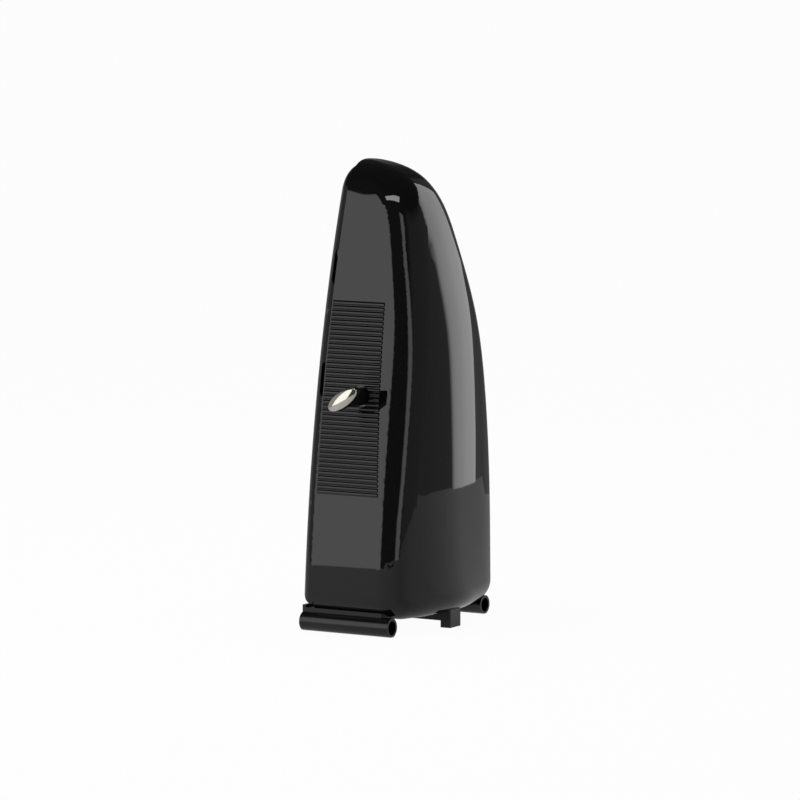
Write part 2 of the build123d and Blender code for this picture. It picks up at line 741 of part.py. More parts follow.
def escape_arbor():
    """Arbor with the pinion that the second wheel drives."""
    centre = escape_centre()
    phase = ESCAPE_LEAN + 90 + 180 / ESCAPE_PINION
    pinion = Pos(*centre) * gear_face(SECOND_MODULE, ESCAPE_PINION, phase)
    leaves = sheet_x(pinion, second_x() - HUB_STEP, second_x() + WHEEL_SHEET + HUB_STEP)
    start = escape_web_x() - HUB_STEP
    return rod_x(*centre, start, FRAME_HALF + FRAME_SHEET, ESCAPE_ARBOR_R) + leaves


def escape_web_x():
    """Inner face of the escape wheel's web, behind its teeth."""
    return ESCAPE_TIP_X + ESCAPE_TOOTH + ESCAPE_RIM


def escape_wheel():
    """Crown wheel whose pointed teeth face the pendulum arbor."""
    margin = ESCAPE_RIM / 2
    inner, outer = ESCAPE_R - margin, ESCAPE_R + margin
    hub_r = 2 * ESCAPE_ARBOR_R
    web_x = escape_web_x()
    end = web_x + ESCAPE_RIM
    rim = sheet_x(Circle(outer) - Circle(inner), ESCAPE_TIP_X, end)
    holes = lightening_holes(hub_r + margin, inner - margin, ESCAPE_HOLES)
    web = sheet_x(Circle(outer) - Circle(ESCAPE_ARBOR_R) - holes, web_x, end)
    hub = sheet_x(Circle(hub_r) - Circle(ESCAPE_ARBOR_R), web_x - HUB_STEP, end)
    wheel = rim + web + hub - escape_gaps()
    return Pos(0, *escape_centre()) * wheel


def escape_gaps():
    """Tapered gaps between the crown wheel's teeth, one of them centred on +Y."""
    pitch = tau * ESCAPE_R / ESCAPE_TEETH
    mouth, root = ESCAPE_MOUTH_SHARE * pitch / 2, ESCAPE_ROOT_SHARE * pitch / 2
    tip, base = ESCAPE_TIP_X - SEAT, ESCAPE_TIP_X + ESCAPE_TOOTH
    corners = [(tip, -mouth), (base, -root), (base, root), (tip, mouth)]
    gap = slab_y(make_face(Polyline(*corners, close=True)), ESCAPE_R / 2, 2 * ESCAPE_R)
    return [Rot(k * 360 / ESCAPE_TEETH, 0, 0) * gap for k in range(ESCAPE_TEETH)]


def pendulum_arbor():
    """Arbor along Y that carries the pallets and, in front of the plate, the rod."""
    return rod_y(0, escape_centre()[1], ROD_Y + ROD_R, FRAME_REAR_Y + FRAME_SHEET, VERGE_R)


def pallet(y, angle):
    """Flag on a collar that dips into the escape wheel's teeth at one side."""
    z = escape_centre()[1]
    half = PALLET_WIDTH / 2
    front, rear = y - half, y + half
    collar = rod_y(0, z, front, rear, PALLET_COLLAR_R) - rod_y(0, z, front, rear, VERGE_R)
    thick = PALLET_THICKNESS / 2
    flag = block(VERGE_R + RUNNING, PALLET_REACH, front, rear, -thick, thick)
    return collar + Pos(0, 0, z) * Rot(0, -angle, 0) * flag


def rod_hub():
    """Hub that clamps the rod to the front end of the pendulum arbor."""
    z = escape_centre()[1]
    hub = rod_y(0, z, ROD_Y - ROD_R - ROD_HUB_LIP, PLATE_FRONT_Y - 2 * GAP, ROD_HUB_R)
    hub = hub - rod_y(0, z, ROD_Y + ROD_R, PLATE_FRONT_Y, VERGE_R)
    return hub - Pos(0, ROD_Y, z) * Cylinder(ROD_R, 4 * ROD_HUB_R)


def pendulum_rod():
    """Straight steel rod from the counterweight up to its free tip."""
    low = COUNTERWEIGHT_Z - COUNTERWEIGHT_R / 2
    rod = Pos(0, ROD_Y, (low + ROD_TOP_Z) / 2) * Cylinder(ROD_R, ROD_TOP_Z - low)
    return fillet(rod.edges().group_by(Axis.Z)[-1], ROD_R / 2)


def counterweight():
    """Round lead weight on the lower end of the rod."""
    rear = PLATE_FRONT_Y - 2 * GAP
    disc = rod_y(0, COUNTERWEIGHT_Z, rear - COUNTERWEIGHT_DEPTH, rear, COUNTERWEIGHT_R)
    disc = chamfer(disc.edges(), COUNTERWEIGHT_DEPTH / 8)
    low = COUNTERWEIGHT_Z - COUNTERWEIGHT_R / 2
    bore = Pos(0, ROD_Y, low + COUNTERWEIGHT_R) * Cylinder(ROD_R, 2 * COUNTERWEIGHT_R)
    return disc - bore


def sliding_weight():
    """Tempo weight that slides on the rod, with a slot for its friction spring."""
    half = WEIGHT_HEIGHT / 2
    low, high = WEIGHT_Z - half, WEIGHT_Z + half
    top, foot = WEIGHT_TOP_WIDTH / 2, WEIGHT_FOOT_WIDTH / 2
    corners = [(-foot, low), (foot, low), (top, high), (-top, high)]
    rear = PLATE_FRONT_Y - SCALE_THICKNESS - GAP
    weight = slab_y(make_face(Polyline(*corners, close=True)), rear - WEIGHT_DEPTH, rear)
    weight = chamfer(weight.faces().sort_by(Axis.Y)[0].edges(), WEIGHT_DEPTH / 8)
    bore = Pos(0, ROD_Y, WEIGHT_Z) * Cylinder(ROD_R + RUNNING, 2 * WEIGHT_HEIGHT)
    half_slot = WEIGHT_SPRING_WIDTH / 2 + RUNNING
    length = WEIGHT_SLOT_SHARE * half
    slot = block(-half_slot, half_slot, rear - WEIGHT_DEPTH, ROD_Y, WEIGHT_Z - length, WEIGHT_Z + length)
    return weight - bore - slot


def weight_spring():
    """Leaf in the sliding weight that presses on the rod and holds the weight where it is put."""
    half = WEIGHT_SPRING_WIDTH / 2
    length = WEIGHT_SLOT_SHARE * WEIGHT_HEIGHT / 2
    rear = ROD_Y - ROD_R - RUNNING
    return block(-half, half, rear - WEIGHT_SPRING_SHEET, rear, WEIGHT_Z - length, WEIGHT_Z + length)


def frame_plate(side):
    """Sheet-metal side plate of the movement, with a flange folded out at the front."""
    front = PLATE_FRONT_Y + PLATE_THICKNESS
    inner, outer = FRAME_HALF, FRAME_HALF + FRAME_SHEET
    sheet = block(inner, outer, front, FRAME_REAR_Y, FRAME_LOW_Z, FRAME_HIGH_Z)
    flange = block(inner, inner + FLANGE_REACH, front, front + FRAME_SHEET, FRAME_LOW_Z, FRAME_HIGH_Z)
    plate = sheet + flange
    cuts = []
    for centre, radius in frame_bores(side):
        cuts.append(rod_x(*centre, inner, outer, radius))
    for centre in pillar_places():
        cuts.append(rod_x(*centre, inner, outer, PILLAR_SCREW_R))
    for x, z in flange_screw_places():
        cuts.append(rod_y(abs(x), z, front, front + FRAME_SHEET, SCREW_R))
    plate = plate - cuts
    return plate if side > 0 else mirror(plate, Plane.YZ)


def frame_bores(side):
    """Bush holes of one frame plate. The escape arbor runs only in the right one."""
    bores = [(key_centre(), WINDING_R + BUSH_WALL), (intermediate_centre(), ARBOR_R + BUSH_WALL)]
    if side > 0:
        bores.append((escape_centre(), ESCAPE_ARBOR_R + BUSH_WALL))
    return bores


def pillar_places():
    """Pillars in three corners of the frame plates, as Y and Z."""
    front, rear = PLATE_FRONT_Y + PLATE_THICKNESS + PILLAR_EDGE, FRAME_REAR_Y - PILLAR_EDGE
    low, high = FRAME_LOW_Z + PILLAR_EDGE, FRAME_HIGH_Z - PILLAR_EDGE
    return [(rear, high), (front, high), (rear, low)]


def frame_pillars():
    """Three pillars that hold the frame plates apart, tapped at both ends."""
    pillars = []
    for centre in pillar_places():
        tapped = rod_x(*centre, -FRAME_HALF, FRAME_HALF, PILLAR_SCREW_R)
        core = rod_x(*centre, -FRAME_HALF + PILLAR_TAP, FRAME_HALF - PILLAR_TAP, PILLAR_SCREW_R)
        pillars.append(rod_x(*centre, -FRAME_HALF, FRAME_HALF, PILLAR_R) - tapped + core)
    return Compound(children=[p.solid() for p in pillars])


def pillar_screws():
    """Cheese-head screws through the frame plates into the pillars."""
    outer = FRAME_HALF + FRAME_SHEET
    screws = []
    for centre in pillar_places():
        shank = rod_x(*centre, FRAME_HALF - PILLAR_TAP + GAP, outer, PILLAR_SCREW_R - RUNNING)
        top = outer + PILLAR_SCREW_R
        head = rod_x(*centre, outer, top, 2 * PILLAR_SCREW_R)
        half = PILLAR_SLOT / 2
        slot = block(top - PILLAR_SCREW_R / 2, top, -MARGIN, MARGIN, -half, half)
        screw = shank + head - Pos(0, *centre) * slot
        screws += both_sides(screw)
    return Compound(children=[s.solid() for s in screws])


def rear_bridge():
    """Strip across the back of the frame that holds the rear end of the pendulum arbor."""
    z = escape_centre()[1]
    half = FRAME_HALF + FRAME_SHEET
    low, high = z - BRIDGE_HALF_HEIGHT, z + BRIDGE_HALF_HEIGHT
    rear = FRAME_REAR_Y + FRAME_SHEET
    strip = block(-half, half, FRAME_REAR_Y, rear, low, high)
    return strip - rod_y(0, z, FRAME_REAR_Y, rear, VERGE_R + BUSH_WALL)


def escape_cock():
    """Bracket on two legs from the right frame plate that holds the escape arbor behind its wheel."""
    y, z = escape_centre()
    x = cock_x()
    half, drop = COCK_HALF_WIDTH, COCK_DROP
    plate = block(x, x + FRAME_SHEET, y - half, y + half, z - drop, z + COCK_RISE)
    legs = []
    for side in (1, -1):
        leg_y = y + side * (half - COCK_LEG_R)
        legs.append(rod_x(leg_y, z - drop + COCK_LEG_R, x, FRAME_HALF, COCK_LEG_R))
    return plate + legs - rod_x(y, z, x, x + FRAME_SHEET, ESCAPE_ARBOR_R + BUSH_WALL)


def cock_x():
    """Inner face of the escape cock, clear of the wheel."""
    return escape_web_x() + ESCAPE_RIM + GAP


def bush(centre, x, radius):
    """Brass bush along X in a plate that starts at x."""
    ring = Circle(radius + BUSH_WALL) - Circle(radius + BUSH_RUNNING)
    return sheet_x(Pos(*centre) * ring, x, x + FRAME_SHEET)


def bush_pair(centre, radius, left_x):
    """The two bushes of an arbor: one at left_x and one in the right frame plate."""
    bushes = [bush(centre, left_x, radius), bush(centre, FRAME_HALF, radius)]
    return Compound(children=[b.solid() for b in bushes])


def pendulum_bushes():
    """Bushes of the pendulum arbor, in the front plate and in the rear bridge."""
    z = escape_centre()[1]
    rings = []
    ring = Pos(0, z) * (Circle(VERGE_R + BUSH_WALL) - Circle(VERGE_R + BUSH_RUNNING))
    for y, thickness in ((PLATE_FRONT_Y, PLATE_THICKNESS), (FRAME_REAR_Y, FRAME_SHEET)):
        rings.append(slab_y(ring, y, y + thickness).solid())
    return Compound(children=rings)


def key_grip():
    """Moulded key: a round hub that ends in a flat oval wing."""
    start = key_face_x() + GAP
    wing_start = start + KEY_REACH - KEY_CAP_HEIGHT - KEY_WING_DEPTH
    bore_end = key_face_x() + GAP + KEY_REACH / 2
    hub = rod_x(*key_centre(), start, wing_start, KEY_HUB_R)
    wing = sheet_x(key_oval(KEY_LONG_R, KEY_SHORT_R), wing_start, wing_start + KEY_WING_DEPTH)
    wing = chamfer(wing.edges().group_by(Axis.X)[0], KEY_WING_DEPTH / 5)
    return hub + wing - rod_x(*key_centre(), start, bore_end, WINDING_R)


def key_oval(long_r, short_r):
    """Oval of the key, turned about the arbor's axis."""
    return Pos(*key_centre()) * Rot(0, 0, KEY_ROLL) * Ellipse(long_r, short_r)


def key_cap():
    """Domed nickel-plated cap on the outer face of the key's wing."""
    start = key_face_x() + GAP + KEY_REACH - KEY_CAP_HEIGHT
    half_ball = Sphere(1) & block(0, MARGIN, -MARGIN, MARGIN, -MARGIN, MARGIN)
    dome = scale(half_ball, by=(KEY_CAP_HEIGHT, KEY_LONG_R, KEY_SHORT_R))
    return Pos(start, *key_centre()) * Rot(KEY_ROLL, 0, 0) * dome


def screw_group(screws):
    """Separate screws that share one node."""
    return Compound(children=[s.solid() for s in screws])


def build():
    """All nodes by name."""
    case = outer_case()
    y_escape = escape_centre()[0]
    upright_screw = countersunk_screw(SCREW_LENGTH)
    base_screws = [Pos(x, y, CASE_BOTTOM) * upright_screw for x, y in base_screw_places()]
    plate_screws = [front_screw(x, z, PLATE_FRONT_Y, SCREW_LENGTH) for x, z in post_places()]
    grip = PLATE_THICKNESS + FRAME_SHEET
    flange_screws = [front_screw(x, z, PLATE_FRONT_Y, grip) for x, z in flange_screw_places()]
    return {
        "housing": housing(case),
        "front_cover": front_cover(),
        "base_plate": base_plate(case),
        "base_screws": screw_group(base_screws),
        "foot_tube_right": foot_tube(1),
        "foot_tube_left": foot_tube(-1),
        "front_plate": front_plate(),
        "plate_screws": screw_group(plate_screws),
        "movement_screws": screw_group(flange_screws),
        "scale_plate": scale_plate(),
        "frame_plate_right": frame_plate(1),
        "frame_plate_left": frame_plate(-1),
        "frame_pillars": frame_pillars(),
        "pillar_screws": pillar_screws(),
        "rear_bridge": rear_bridge(),
        "escape_cock": escape_cock(),
        "winding_bushes": bush_pair(key_centre(), WINDING_R, -FRAME_HALF - FRAME_SHEET),
        "intermediate_bushes": bush_pair(intermediate_centre(), ARBOR_R, -FRAME_HALF - FRAME_SHEET),
        "escape_bushes": bush_pair(escape_centre(), ESCAPE_ARBOR_R, cock_x()),
        "pendulum_bushes": pendulum_bushes(),
        "mainspring": mainspring(),
        "winding_arbor": winding_arbor(),
        "ratchet_wheel": ratchet_wheel(),
        "key_grip": key_grip(),
        "key_cap": key_cap(),
        "great_wheel": great_wheel(),
        "click_stud": click_stud(),
        "click_spring": click_spring(),
        "click": click(),
        "intermediate_arbor": intermediate_arbor(),
        "intermediate_wheel": intermediate_wheel(),
        "escape_arbor": escape_arbor(),
        "escape_wheel": escape_wheel(),
        "pendulum_arbor": pendulum_arbor(),
        "pallet_front": pallet(y_escape - ESCAPE_R, -PALLET_ANGLE),
        "pallet_rear": pallet(y_escape + ESCAPE_R, PALLET_ANGLE),
        "rod_hub": rod_hub(),
        "pendulum_rod": pendulum_rod(),
        "counterweight": counterweight(),
        "sliding_weight": sliding_weight(),
        "weight_spring": weight_spring(),
    }


os.makedirs("parts", exist_ok=True)
for name, shape in build().items():
    export_step(shape, f"parts/{name}.step")
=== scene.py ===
import bpy
import math
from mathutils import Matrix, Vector


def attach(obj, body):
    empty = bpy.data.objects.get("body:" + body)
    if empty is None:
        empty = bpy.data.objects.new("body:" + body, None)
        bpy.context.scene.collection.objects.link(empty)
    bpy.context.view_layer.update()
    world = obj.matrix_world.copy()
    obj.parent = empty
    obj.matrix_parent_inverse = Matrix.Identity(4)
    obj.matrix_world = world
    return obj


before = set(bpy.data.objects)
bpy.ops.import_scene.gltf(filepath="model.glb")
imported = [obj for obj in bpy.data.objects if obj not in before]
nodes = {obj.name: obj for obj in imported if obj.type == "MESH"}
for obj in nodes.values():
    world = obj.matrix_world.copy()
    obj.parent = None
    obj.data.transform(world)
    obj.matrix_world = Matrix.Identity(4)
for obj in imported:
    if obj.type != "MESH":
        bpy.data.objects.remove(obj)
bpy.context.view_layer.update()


# Case: two ABS mouldings, the deep rear shell with its ribbed sides and the shallow lift-off cover.
# Polished steel moulds leave a mirror-like black skin, with a faint waviness where the plastic shrank
# and the thinnest haze of handling.
def linear(code):
    """Scene-linear colour from an sRGB hex code."""
    parts = [int(code[k:k + 2], 16) / 255 for k in (1, 3, 5)]
    return [c / 12.92 if c <= 0.04045 else ((c + 0.055) / 1.055) ** 2.4 for c in parts] + [1.0]


def add(tree, kind, links=(), **settings):
    """New node with its settings; links pair one of its inputs with another node's output."""
    made = tree.nodes.new(kind)
    for name, value in settings.items():
        label = name.replace("_", " ")
        if label in made.inputs:
            made.inputs[label].default_value = value
        else:
            setattr(made, name, value)
    for socket, source, output in links:
        tree.links.new(source.outputs[output], made.inputs[socket])
    return made


def new_material(name):
    """Empty node material with its output."""
    material = bpy.data.materials.new(name)
    material.use_nodes = True
    tree = material.node_tree
    tree.nodes.clear()
    return material, tree, add(tree, "ShaderNodeOutputMaterial")


def dress(material, names):
    """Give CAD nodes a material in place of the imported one."""
    for name in names:
        slots = nodes[name].data.materials
        slots.clear()
        slots.append(material)


def shrink_marks(tree, width_mm, low, high):
    """Slow variation between two values, for skins that aren't quite even."""
    place = add(tree, "ShaderNodeTexCoord")
    noise = add(tree, "ShaderNodeTexNoise", [("Vector", place, "Object")], Scale=1000 / width_mm, Detail=3.0)
    return add(tree, "ShaderNodeMapRange", [("Value", noise, "Fac")], To_Min=low, To_Max=high)


gloss_abs, tree, out = new_material("polished_black_abs")
haze = shrink_marks(tree, 9.0, 0.012, 0.028)
place = add(tree, "ShaderNodeTexCoord")
waviness = add(tree, "ShaderNodeTexNoise", [("Vector", place, "Object")], Scale=1000 / 14.0, Detail=1.0)
sink = add(tree, "ShaderNodeBump", [("Height", waviness, "Fac")], Strength=0.004, Distance=0.0004)
shell_inputs = [("Roughness", haze, "Result"), ("Normal", sink, "Normal")]
shell = add(tree, "ShaderNodeBsdfPrincipled", shell_inputs, IOR=1.54)
shell.inputs["Base Color"].default_value = linear("#0a0a0b")
tree.links.new(shell.outputs["BSDF"], out.inputs["Surface"])
dress(gloss_abs, ["housing", "front_cover"])


# Base plate and front plate: ABS mouldings, the first with saddles for the tubes and the rear peg, both
# left with the fine spark texture of their moulds.
satin_abs, tree, out = new_material("spark_textured_black_abs")
place = add(tree, "ShaderNodeTexCoord")
grit = add(tree, "ShaderNodeTexNoise", [("Vector", place, "Object")], Scale=1000 / 0.35, Detail=2.0)
relief = add(tree, "ShaderNodeBump", [("Height", grit, "Fac")], Strength=0.12, Distance=0.0001)
sheen = shrink_marks(tree, 6.0, 0.3, 0.42)
skin_inputs = [("Roughness", sheen, "Result"), ("Normal", relief, "Normal")]
skin = add(tree, "ShaderNodeBsdfPrincipled", skin_inputs, IOR=1.54)
skin.inputs["Base Color"].default_value = linear("#0d0d0e")
tree.links.new(skin.outputs["BSDF"], out.inputs["Surface"])
dress(satin_abs, ["base_plate", "front_plate"])


# Feet: two lengths of soft black vinyl tube pressed into the saddles, shiny from extrusion with fine
# draw lines along their length.
tube_vinyl, tree, out = new_material("extruded_black_vinyl")
place = add(tree, "ShaderNodeTexCoord")
along = add(tree, "ShaderNodeMapping", [("Vector", place, "Object")], Scale=(1.0, 0.02, 1.0))
draw_lines = add(tree, "ShaderNodeTexNoise", [("Vector", along, "Vector")], Scale=1000 / 0.5, Detail=2.0)
lines = add(tree, "ShaderNodeBump", [("Height", draw_lines, "Fac")], Strength=0.06, Distance=0.0001)
vinyl_haze = add(tree, "ShaderNodeMapRange", [("Value", draw_lines, "Fac")], To_Min=0.16, To_Max=0.26)
vinyl_inputs = [("Roughness", vinyl_haze, "Result"), ("Normal", lines, "Normal")]
vinyl = add(tree, "ShaderNodeBsdfPrincipled", vinyl_inputs, IOR=1.52)
vinyl.inputs["Base Color"].default_value = linear("#0c0c0d")
tree.links.new(vinyl.outputs["BSDF"], out.inputs["Surface"])
dress(tube_vinyl, ["foot_tube_right", "foot_tube_left"])


# Winding key: a black moulded hub and wing with an oval cap of polished nickel-plated brass on its end.
key_abs, tree, out = new_material("moulded_black_key_abs")
worn = shrink_marks(tree, 3.0, 0.3, 0.42)
grip = add(tree, "ShaderNodeBsdfPrincipled", [("Roughness", worn, "Result")], IOR=1.54)
grip.inputs["Base Color"].default_value = linear("#0b0b0b")
tree.links.new(grip.outputs["BSDF"], out.inputs["Surface"])
dress(key_abs, ["key_grip"])

nickel, tree, out = new_material("polished_nickel_plate")
buffing = shrink_marks(tree, 1.2, 0.04, 0.09)
plate = add(tree, "ShaderNodeBsdfPrincipled", [("Roughness", buffing, "Result")], Metallic=1.0)
plate.inputs["Base Color"].default_value = linear("#d9d5cb")
tree.links.new(plate.outputs["BSDF"], out.inputs["Surface"])
dress(nickel, ["key_cap", "sliding_weight"])


# Movement frame and screws: rolled steel sheet with faint lines along the rolling direction, and
# zinc-plated screws.
rolled_steel, tree, out = new_material("rolled_steel_sheet")
place = add(tree, "ShaderNodeTexCoord")
roll = add(tree, "ShaderNodeMapping", [("Vector", place, "Object")], Scale=(1.0, 1.0, 0.03))
streaks = add(tree, "ShaderNodeTexNoise", [("Vector", roll, "Vector")], Scale=1000 / 0.4, Detail=3.0)
rolled = add(tree, "ShaderNodeMapRange", [("Value", streaks, "Fac")], To_Min=0.28, To_Max=0.45)
sheet = add(tree, "ShaderNodeBsdfPrincipled", [("Roughness", rolled, "Result")], Metallic=1.0)
sheet.inputs["Base Color"].default_value = linear("#b4b4b2")
tree.links.new(sheet.outputs["BSDF"], out.inputs["Surface"])
dress(rolled_steel, ["frame_plate_right", "frame_plate_left", "rear_bridge", "escape_cock"])

zinc, tree, out = new_material("bright_zinc_plate")
passivate = shrink_marks(tree, 0.8, 0.25, 0.4)
plated = add(tree, "ShaderNodeBsdfPrincipled", [("Roughness", passivate, "Result")], Metallic=1.0)
plated.inputs["Base Color"].default_value = linear("#b9bcc0")
tree.links.new(plated.outputs["BSDF"], out.inputs["Surface"])
dress(zinc, ["base_screws", "plate_screws", "movement_screws", "pillar_screws"])


# Train and pillars: wheels stamped from brass sheet, turned brass bushes and pillars, with the slight
# unevenness of old lacquer.
brass, tree, out = new_material("stamped_brass")
tarnish = shrink_marks(tree, 2.5, 0.0, 1.0)
tone = add(tree, "ShaderNodeMix", [("Factor", tarnish, "Result")], data_type="RGBA")
tone.inputs[6].default_value = linear("#c9a24e")
tone.inputs[7].default_value = linear("#b08a3c")
lacquer = shrink_marks(tree, 1.5, 0.2, 0.34)
stamped_inputs = [("Base Color", tone, 2), ("Roughness", lacquer, "Result")]
stamped = add(tree, "ShaderNodeBsdfPrincipled", stamped_inputs, Metallic=1.0)
tree.links.new(stamped.outputs["BSDF"], out.inputs["Surface"])
dress(brass, [
    "frame_pillars", "winding_bushes", "intermediate_bushes", "escape_bushes", "pendulum_bushes",
    "great_wheel", "intermediate_wheel", "escape_wheel", "rod_hub",
])


# Arbors, ratchet, click, pallets and rod: turned and polished steel, with fine tool rings.
turned_steel, tree, out = new_material("turned_steel")
tool_rings = shrink_marks(tree, 0.5, 0.12, 0.26)
turned = add(tree, "ShaderNodeBsdfPrincipled", [("Roughness", tool_rings, "Result")], Metallic=1.0)
turned.inputs["Base Color"].default_value = linear("#c3c3c1")
tree.links.new(turned.outputs["BSDF"], out.inputs["Surface"])
dress(turned_steel, [
    "winding_arbor", "ratchet_wheel", "click", "click_stud", "intermediate_arbor", "escape_arbor",
    "pendulum_arbor", "pallet_front", "pallet_rear", "pendulum_rod",
])


# Springs: hardened steel strip, tempered to a dark blue that shifts a little along the coil.
blued_steel, tree, out = new_material("blued_spring_steel")
temper = shrink_marks(tree, 5.0, 0.0, 1.0)
blue = add(tree, "ShaderNodeMix", [("Factor", temper, "Result")], data_type="RGBA")
blue.inputs[6].default_value = linear("#3c4560")
blue.inputs[7].default_value = linear("#5b5a66")
strip = add(tree, "ShaderNodeBsdfPrincipled", [("Base Color", blue, 2)], Metallic=1.0, Roughness=0.24)
tree.links.new(strip.outputs["BSDF"], out.inputs["Surface"])
dress(blued_steel, ["mainspring", "click_spring", "weight_spring"])


# Counterweight: cast lead, dull grey with a slightly pitted skin.
lead, tree, out = new_material("cast_lead")
place = add(tree, "ShaderNodeTexCoord")
pits = add(tree, "ShaderNodeTexNoise", [("Vector", place, "Object")], Scale=1000 / 0.9, Detail=4.0)
pitted = add(tree, "ShaderNodeBump", [("Height", pits, "Fac")], Strength=0.25, Distance=0.0002)
dull = shrink_marks(tree, 2.0, 0.5, 0.68)
cast_inputs = [("Roughness", dull, "Result"), ("Normal", pitted, "Normal")]
cast = add(tree, "ShaderNodeBsdfPrincipled", cast_inputs, Metallic=0.8)
cast.inputs["Base Color"].default_value = linear("#6a6b6e")
tree.links.new(cast.outputs["BSDF"], out.inputs["Surface"])
dress(lead, ["counterweight"])


# Scale: a satin aluminium plate on the front plate, behind the rod, with fine hairlines across it from
# brushing.
satin_aluminium, tree, out = new_material("satin_aluminium")
place = add(tree, "ShaderNodeTexCoord")
brush = add(tree, "ShaderNodeMapping", [("Vector", place, "Object")], Scale=(0.03, 1.0, 1.0))
hairlines = add(tree, "ShaderNodeTexNoise", [("Vector", brush, "Vector")], Scale=1000 / 0.25, Detail=2.0)
satin = add(tree, "ShaderNodeMapRange", [("Value", hairlines, "Fac")], To_Min=0.32, To_Max=0.44)
anodised = add(tree, "ShaderNodeBsdfPrincipled", [("Roughness", satin, "Result")], Metallic=1.0)
anodised.inputs["Base Color"].default_value = linear("#cfcfcb")
tree.links.new(anodised.outputs["BSDF"], out.inputs["Surface"])
dress(satin_aluminium, ["scale_plate"])


# Printed scale: beats per minute in black ink, slow at the top, in two columns that take turns beside
# the rod. The weight's upper edge points at the tempo. Built-in lettering, flattened into one mesh.
TEMPI = [*range(40, 60, 2), *range(60, 72, 3), *range(72, 120, 4), *range(120, 144, 6), *range(144, 209, 8)]
SCALE_FACE_Y, SCALE_SLOW_Z, SCALE_FAST_Z = -0.0104, 0.1275, 0.0775
INK_THICKNESS, DIGIT_HEIGHT = 0.00002, 0.0019
TICK_INNER, TICK_OUTER, TICK_HALF, DIGIT_MIDDLE = 0.0047, 0.0053, 0.00012, 0.0074
ink_points, ink_faces = [], []
for k, tempo in enumerate(TEMPI):
    z = SCALE_SLOW_Z + (SCALE_FAST_Z - SCALE_SLOW_Z) * k / (len(TEMPI) - 1)
    side = 1 if k % 2 else -1
    lettering = bpy.data.curves.new("tempo", "FONT")
    lettering.body = str(tempo)
    lettering.size = DIGIT_HEIGHT / 0.7
    lettering.align_x, lettering.align_y = "CENTER", "CENTER"
    writer = bpy.data.objects.new("tempo", lettering)
    flat = bpy.data.meshes.new_from_object(writer)
    first = len(ink_points)
    y = SCALE_FACE_Y - INK_THICKNESS
    ink_points += [(side * DIGIT_MIDDLE + p.co.x, y, z + p.co.y) for p in flat.vertices]
    ink_faces += [[first + v for v in face.vertices] for face in flat.polygons]
    first = len(ink_points)
    for x, rise in ((TICK_INNER, -1), (TICK_OUTER, -1), (TICK_OUTER, 1), (TICK_INNER, 1)):
        ink_points.append((side * x, y, z + rise * TICK_HALF))
    ink_faces.append([first, first + 1, first + 2, first + 3])
    bpy.data.objects.remove(writer)
    bpy.data.meshes.remove(flat)
ink_mesh = bpy.data.meshes.new("scale_print")
ink_mesh.from_pydata(ink_points, [], ink_faces)
scale_print = bpy.data.objects.new("scale_print", ink_mesh)
bpy.context.scene.collection.objects.link(scale_print)
ink, tree, out = new_material("black_printing_ink")
coverage = shrink_marks(tree, 0.6, 0.35, 0.55)
printed = add(tree, "ShaderNodeBsdfPrincipled", [("Roughness", coverage, "Result")])
printed.inputs["Base Color"].default_value = linear("#141414")
tree.links.new(printed.outputs["BSDF"], out.inputs["Surface"])
ink_mesh.materials.append(ink)
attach(scale_print, "case")


# Studio: a pale table inside a dark tent. Black gloss shows only what it mirrors, so a broad card stands
# at the right, a tall softbox at the rear left, a thin bowed strip beside the camera and a small lamp
# above it. Cards and tent are seen by reflections alone.
def card(name, grid):
    """Glowing cloth; each point is an angle from +Y towards +X, a distance, a height and a strength."""
    points = []
    strengths = []
    for angle, distance, height, strength in [point for row in grid for point in row]:
        turn = math.radians(angle)
        points.append((distance * math.sin(turn), distance * math.cos(turn), height))
        strengths.append(strength)
    wide = len(grid[0])
    corners = [r * wide + k for r in range(len(grid) - 1) for k in range(wide - 1)]
    mesh = bpy.data.meshes.new(name)
    mesh.from_pydata(points, [], [(c, c + 1, c + 1 + wide, c + wide) for c in corners])
    mesh.attributes.new("strength", "FLOAT", "POINT").data.foreach_set("value", strengths)
    material, tree, out = new_material(name + "_cloth")
    level = add(tree, "ShaderNodeAttribute", attribute_name="strength")
    glow = add(tree, "ShaderNodeEmission", [("Strength", level, "Fac")])
    tree.links.new(glow.outputs["Emission"], out.inputs["Surface"])
    mesh.materials.append(material)
    cloth = bpy.data.objects.new(name, mesh)
    bpy.context.scene.collection.objects.link(cloth)
    cloth.visible_camera = False
    cloth.visible_diffuse = False
    cloth.visible_shadow = False


def between(keys, step=4):
    """Columns every few degrees between key columns, each an angle followed by values."""
    columns = []
    for first, last in zip(keys, keys[1:]):
        count = max(1, int((last[0] - first[0]) / step))
        for k in range(count):
            columns.append([p + (q - p) * k / count for p, q in zip(first, last)])
    return columns + [list(keys[-1])]


# The tent stands close at the right and further off behind; its roof and upper walls are nearly black.
TENT_TOP, DARK = 1.2, 0.04
walls = between([
    (-180, 0.46, 0.4, 0.2), (-130, 0.4, 0.3, 0.2), (-95, 0.37, 0.15, 0.2), (-86, 0.38, 0.15, 0.4),
    (-81, 0.46, 0.15, 0.4), (-74, 0.46, 0.22, 0.4), (-20, 0.46, 0.22, 0.4), (20, 0.43, 0.21, 0.4),
    (34, 0.385, 0.2, 0.4),
    (46, 0.35, 0.06, 0.4), (128, 0.35, 0.06, 0.4), (150, 0.42, 0.2, 0.2), (180, 0.46, 0.4, 0.2),
])
card("tent_wall", [
    [(a, r, 0.0, g) for a, r, g, lit in walls],
    [(a, r, lit, g) for a, r, g, lit in walls],
    [(a, r, lit + 0.12, DARK) for a, r, g, lit in walls],
    [(a, r, TENT_TOP, DARK) for a, r, g, lit in walls],
])
card("tent_roof", [
    [(a, 0.0, TENT_TOP, DARK) for a, r, g, lit in walls],
    [(a, r, TENT_TOP, DARK) for a, r, g, lit in walls],
])
